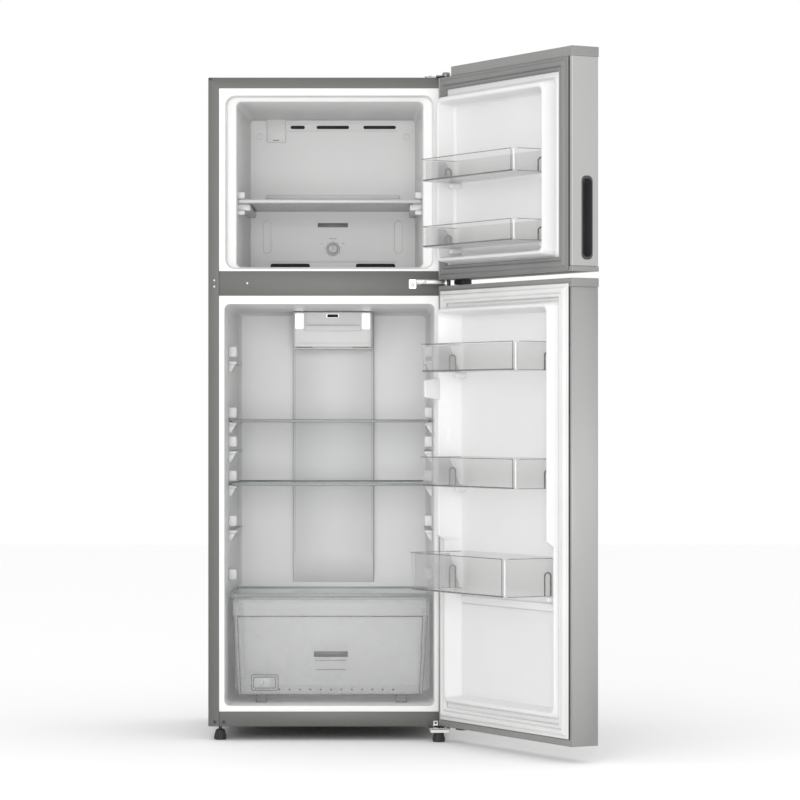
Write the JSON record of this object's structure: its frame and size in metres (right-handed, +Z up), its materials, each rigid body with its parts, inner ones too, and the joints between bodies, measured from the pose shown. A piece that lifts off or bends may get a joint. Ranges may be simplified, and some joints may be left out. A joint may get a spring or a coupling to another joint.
{
  "type": "top freezer refrigerator",
  "caption": "Upright refrigerator with a freezer above a fresh food space, both doors open, glass shelves, a crisper drawer and clear door bins.",
  "frame": {"origin": "On the floor, under the middle of the whole object's bounding box with both doors open as stored; the front feet and rear rollers rest on z = 0.", "axes": "+Z is up. -Y is the way the cabinet faces. +X is to the right as one faces the open cabinet, the side the doors are hinged on."},
  "size_m": [0.95, 1.1634, 1.687],
  "materials": {
    "case_paint": "satin",
    "door_steel": "satin",
    "zinc_steel": "satin",
    "hinge_steel": "gloss",
    "liner_white": "gloss",
    "fitting_white": "satin",
    "foam": "matte",
    "fin_aluminium": "satin",
    "compressor_black": "satin",
    "black_plastic": "matte",
    "painted_tube": "satin",
    "shelf_glass": "gloss",
    "lamp_lens": "gloss",
    "shelf_trim": "satin",
    "clear_plastic": "gloss",
    "cap_grey": "satin",
    "gasket_grey": "matte",
    "gasket_white": "matte",
    "pocket_black": "satin"
  },
  "bodies": {
    "cabinet": {"outer_case": "case_paint", "rear_panel": "zinc_steel", "niche_plate": "zinc_steel", "bottom_plate": "zinc_steel", "compressor_tray": "zinc_steel", "mullion_rail": "case_paint", "bottom_rail": "case_paint", "freezer_liner": "liner_white", "fridge_liner": "liner_white", "cabinet_insulation": "foam", "evaporator_cover": "fitting_white", "evaporator": "fin_aluminium", "fan_motor": "black_plastic", "air_duct": "fitting_white", "control_housing": "fitting_white", "light_lens": "lamp_lens", "top_hinge": "zinc_steel", "middle_hinge": "hinge_steel", "bottom_hinge": "hinge_steel", "middle_hinge_screw": "hinge_steel", "compressor": "compressor_black", "condenser_coil": "painted_tube", "drain_pan": "black_plastic", "power_inlet": "black_plastic"},
    "fan": {"evaporator_fan": "black_plastic"},
    "knob": {"temperature_knob": "fitting_white"},
    "upper_shelf": {"upper_glass_shelf": "shelf_glass", "upper_shelf_trim": "shelf_trim"},
    "lower_shelf": {"lower_glass_shelf": "shelf_glass", "lower_shelf_trim": "shelf_trim"},
    "drawer_cover": {"crisper_cover": "shelf_glass"},
    "drawer": {"crisper_drawer": "clear_plastic"},
    "slider": {"humidity_slider": "clear_plastic"},
    "left_foot": {"front_left_foot": "black_plastic"},
    "right_foot": {"front_right_foot": "black_plastic"},
    "left_roller": {"rear_left_roller": "black_plastic"},
    "right_roller": {"rear_right_roller": "black_plastic"},
    "freezer_door": {"freezer_door_skin": "door_steel", "freezer_door_liner": "liner_white", "freezer_door_gasket": "gasket_grey", "freezer_door_top_cap": "cap_grey", "freezer_door_bottom_cap": "cap_grey", "freezer_door_insulation": "foam", "freezer_handle_pocket": "pocket_black", "freezer_door_stop": "black_plastic", "hinge_hole_cover": "cap_grey"},
    "freezer_bin_a": {"upper_freezer_bin": "clear_plastic"},
    "freezer_bin_b": {"lower_freezer_bin": "clear_plastic"},
    "fridge_door": {"fridge_door_skin": "door_steel", "fridge_door_liner": "liner_white", "fridge_door_gasket": "gasket_white", "fridge_door_top_cap": "cap_grey", "fridge_door_bottom_cap": "cap_grey", "fridge_door_insulation": "foam", "fridge_door_stop": "black_plastic"},
    "door_bin_a": {"upper_door_bin": "clear_plastic"},
    "door_bin_b": {"middle_door_bin": "clear_plastic"},
    "door_bin_c": {"lower_door_bin": "clear_plastic"},
    "freezer_deck": {"freezer_shelf": "shelf_trim"}
  },
  "joints": [
    {"name": "freezer_door_hinge", "type": "hinge", "parent": "cabinet", "child": "freezer_door", "pos_m": [0.12305, -0.04629, 1.42], "axis": [0, 0, 1], "range_deg": [-120.3, 8]},
    {"name": "fridge_door_hinge", "type": "hinge", "parent": "cabinet", "child": "fridge_door", "pos_m": [0.12305, -0.04629, 0.59], "axis": [0, 0, 1], "range_deg": [-120.3, 8]},
    {"name": "upper_freezer_bin_lift", "type": "slide", "parent": "freezer_door", "child": "freezer_bin_a", "axis": [0, 0, 1], "range_m": [0, 0.03]},
    {"name": "lower_freezer_bin_lift", "type": "slide", "parent": "freezer_door", "child": "freezer_bin_b", "axis": [0, 0, 1], "range_m": [0, 0.03]},
    {"name": "upper_door_bin_lift", "type": "slide", "parent": "fridge_door", "child": "door_bin_a", "axis": [0, 0, 1], "range_m": [0, 0.03]},
    {"name": "middle_door_bin_lift", "type": "slide", "parent": "fridge_door", "child": "door_bin_b", "axis": [0, 0, 1], "range_m": [0, 0.03]},
    {"name": "lower_door_bin_lift", "type": "slide", "parent": "fridge_door", "child": "door_bin_c", "axis": [0, 0, 1], "range_m": [0, 0.03]},
    {"name": "freezer_shelf_slide", "type": "slide", "parent": "cabinet", "child": "freezer_deck", "axis": [0, -1, 0], "range_m": [0, 0.2]},
    {"name": "upper_shelf_slide", "type": "slide", "parent": "cabinet", "child": "upper_shelf", "axis": [0, -1, 0], "range_m": [0, 0.2]},
    {"name": "lower_shelf_slide", "type": "slide", "parent": "cabinet", "child": "lower_shelf", "axis": [0, -1, 0], "range_m": [0, 0.2]},
    {"name": "crisper_cover_slide", "type": "slide", "parent": "cabinet", "child": "drawer_cover", "axis": [0, -1, 0], "range_m": [0, 0.2]},
    {"name": "crisper_drawer_slide", "type": "slide", "parent": "cabinet", "child": "drawer", "axis": [0, -1, 0], "range_m": [0, 0.26]},
    {"name": "humidity_slider_slide", "type": "slide", "parent": "drawer", "child": "slider", "axis": [1, 0, 0], "range_m": [0, 0.02]},
    {"name": "temperature_knob_turn", "type": "hinge", "parent": "cabinet", "child": "knob", "pos_m": [-0.16995, 0.41171, 1.258], "axis": [0, -1, 0], "range_deg": [-135, 135]},
    {"name": "evaporator_fan_spin", "type": "hinge", "parent": "cabinet", "child": "fan", "pos_m": [-0.16995, 0.44521, 1.5], "axis": [0, 1, 0], "continuous": true},
    {"name": "left_foot_turn", "type": "hinge", "parent": "cabinet", "child": "left_foot", "pos_m": [-0.44615, 0.01171, 0.02], "axis": [0, 0, 1], "continuous": true},
    {"name": "right_foot_turn", "type": "hinge", "parent": "cabinet", "child": "right_foot", "pos_m": [0.10455, -0.04529, 0.02], "axis": [0, 0, 1], "continuous": true},
    {"name": "left_roller_roll", "type": "hinge", "parent": "cabinet", "child": "left_roller", "pos_m": [-0.40995, 0.54171, 0.0165], "axis": [1, 0, 0], "continuous": true},
    {"name": "right_roller_roll", "type": "hinge", "parent": "cabinet", "child": "right_roller", "pos_m": [0.07005, 0.54171, 0.0165], "axis": [1, 0, 0], "continuous": true}
  ]
}
